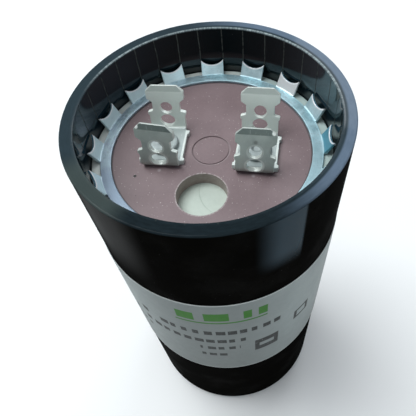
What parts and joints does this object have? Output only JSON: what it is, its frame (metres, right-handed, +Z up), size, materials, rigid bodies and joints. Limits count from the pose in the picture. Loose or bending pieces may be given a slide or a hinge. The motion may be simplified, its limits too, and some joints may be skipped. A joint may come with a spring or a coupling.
{
  "type": "motor start capacitor",
  "caption": "Round moulded start capacitor with a toothed retaining ring over a vented terminal board, folded double tab terminals and a plain wrapped label.",
  "frame": {"origin": "centre of the flat base of the case", "axes": "+Z up along the case, +X along the row of the two terminals, -Y towards the vent hole"},
  "size_m": [0.0452, 0.0452, 0.09],
  "materials": {
    "phenolic_case": "gloss",
    "label_film": "satin",
    "zinc_spring_steel": "bright zinc",
    "phenolic_board": "satin",
    "seal_rubber": "matt",
    "tinned_strip": "dull tin",
    "rivet_metal": "satin",
    "foil_aluminium": "satin",
    "wound_paper": "matt",
    "tape_film": "satin",
    "pad_board": "matt"
  },
  "bodies": {
    "root": {"case": "phenolic_case", "label": "label_film", "retaining_ring": "zinc_spring_steel", "terminal_board": "phenolic_board", "rubber_seal": "seal_rubber", "terminal_left": "tinned_strip", "terminal_right": "tinned_strip", "rivet_left": "rivet_metal", "rivet_right": "rivet_metal", "washer_left": "foil_aluminium", "washer_right": "foil_aluminium", "lead_tab_left": "foil_aluminium", "lead_tab_right": "foil_aluminium", "winding": "wound_paper", "winding_tape": "tape_film", "bottom_pad": "pad_board"}
  },
  "joints": []
}
